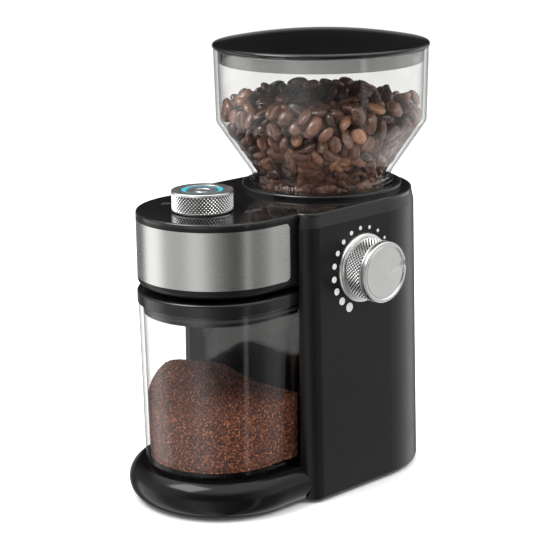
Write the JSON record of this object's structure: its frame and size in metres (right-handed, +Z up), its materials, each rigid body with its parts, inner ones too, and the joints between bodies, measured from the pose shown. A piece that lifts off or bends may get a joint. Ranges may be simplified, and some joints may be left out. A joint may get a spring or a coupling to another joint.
{
  "type": "burr coffee grinder",
  "caption": "Electric burr coffee grinder: clear bean hopper over a motor tower, side grind dial, top start knob and a clear grounds jar in a front bay.",
  "frame": {"origin": "centre of the whole machine's footprint, on the surface that its feet stand on", "axes": "+Z up, -Y towards the front with the jar and the start knob, +X the side with the grind dial; the burr axis is upright and lies behind the origin"},
  "size_m": [0.1311, 0.195, 0.2512],
  "materials": {
    "black_satin": "satin-gloss moulded",
    "black_matte": "matt moulded",
    "black_gloss": "high gloss",
    "rubber": "matt",
    "brushed_band": "brushed along the wrap",
    "satin_metal": "satin, knurled",
    "cyan_light": "clear, lit",
    "button_grey": "satin",
    "clear_plastic": "clear moulded",
    "smoke_plastic": "clear grey moulded",
    "board_green": "solder mask",
    "steel": "plated",
    "iron": "dark",
    "burr_steel": "ground",
    "copper": "bare",
    "carbon": "matt",
    "white_plastic": "acetal",
    "grey_plastic": "moulded"
  },
  "bodies": {
    "machine": {"body_housing": "black_satin", "base_shell": "black_satin", "bottom_plate": "black_matte", "base_screws": "steel", "rubber_feet": "rubber", "top_cover": "black_satin", "cover_screws": "steel", "top_plate": "black_gloss", "head_shell": "black_satin", "steel_band": "brushed_band", "control_board": "board_green", "board_screws": "steel", "knob_encoder": "steel", "dial_bezel": "satin_metal", "dial_bushing": "white_plastic", "rack_guide": "grey_plastic", "burr_chamber": "grey_plastic", "shaft_seal": "rubber", "keeper_ring": "steel", "keeper_screws": "steel", "hopper_gasket": "rubber", "grounds_chute": "grey_plastic", "motor_can": "steel", "motor_end_cap": "grey_plastic", "motor_bearings": "steel", "field_magnets": "iron", "carbon_brushes": "carbon", "brush_holders": "grey_plastic", "motor_mount": "steel", "motor_isolators": "rubber", "motor_screws": "steel", "jar_switch": "grey_plastic", "hopper_switch": "grey_plastic", "power_board": "board_green", "cord_gland": "rubber", "hopper_collar": "black_gloss"},
    "rotor": {"motor_shaft": "steel", "armature_core": "iron", "armature_winding": "copper", "commutator": "copper", "cooling_fan": "grey_plastic", "burr_hub": "grey_plastic", "lower_burr": "burr_steel", "burr_nut": "steel"},
    "dial": {"dial_shaft": "steel", "dial_barrel": "satin_metal", "dial_cap": "satin_metal"},
    "rack": {"rack_bar": "white_plastic"},
    "ring": {"adjusting_ring": "white_plastic"},
    "carrier": {"burr_carrier": "grey_plastic", "upper_burr": "burr_steel"},
    "hopper": {"hopper": "clear_plastic"},
    "lid": {"hopper_lid": "black_gloss", "lid_skirt": "smoke_plastic"},
    "jar": {"jar": "clear_plastic", "jar_lid": "black_satin", "jar_lid_seal": "rubber"},
    "knob": {"start_knob": "satin_metal", "light_ring": "cyan_light"},
    "button": {"start_button": "button_grey"}
  },
  "joints": [
    {"name": "dial_turn", "type": "hinge", "parent": "machine", "child": "dial", "pos_m": [-0.00432, 0.01395, 0.1275], "axis": [1, 0, 0], "range_deg": [-81.01, 243.01]},
    {"name": "rack_slide", "type": "slide", "parent": "machine", "child": "rack", "axis": [0, -1, 0], "range_m": [-0.00567, 0.01698]},
    {"name": "ring_turn", "type": "hinge", "parent": "machine", "child": "ring", "pos_m": [-0.00432, 0.03625, 0.1475], "axis": [0, 0, 1], "range_deg": [-23.99, 8.03]},
    {"name": "carrier_lift", "type": "slide", "parent": "machine", "child": "carrier", "axis": [0, 0, 1], "range_m": [-0.0002, 0.0006]},
    {"name": "rotor_spin", "type": "hinge", "parent": "machine", "child": "rotor", "pos_m": [-0.00432, 0.03625, 0.0346], "axis": [0, 0, 1], "continuous": true},
    {"name": "hopper_twist", "type": "hinge", "parent": "machine", "child": "hopper", "pos_m": [-0.00432, 0.03625, 0.163], "axis": [0, 0, 1], "range_deg": [-25, 0]},
    {"name": "lid_lift", "type": "slide", "parent": "hopper", "child": "lid", "axis": [0, 0, 1], "range_m": [0, 0.06]},
    {"name": "jar_slide", "type": "slide", "parent": "machine", "child": "jar", "axis": [0, -1, 0], "range_m": [0, 0.12]},
    {"name": "knob_turn", "type": "hinge", "parent": "machine", "child": "knob", "pos_m": [-0.00432, -0.05545, 0.1633], "axis": [0, 0, 1], "range_deg": [-135, 135]},
    {"name": "button_press", "type": "slide", "parent": "knob", "child": "button", "axis": [0, 0, -1], "range_m": [0, 0.0015], "stiffness_N_per_m": 900}
  ],
  "couplings": [
    {"joint": "dial_turn", "follows": "carrier_lift", "rad_per_m": 7068.6},
    {"joint": "rack_slide", "follows": "carrier_lift", "ratio": 28.274},
    {"joint": "ring_turn", "follows": "carrier_lift", "rad_per_m": -696.26}
  ]
}
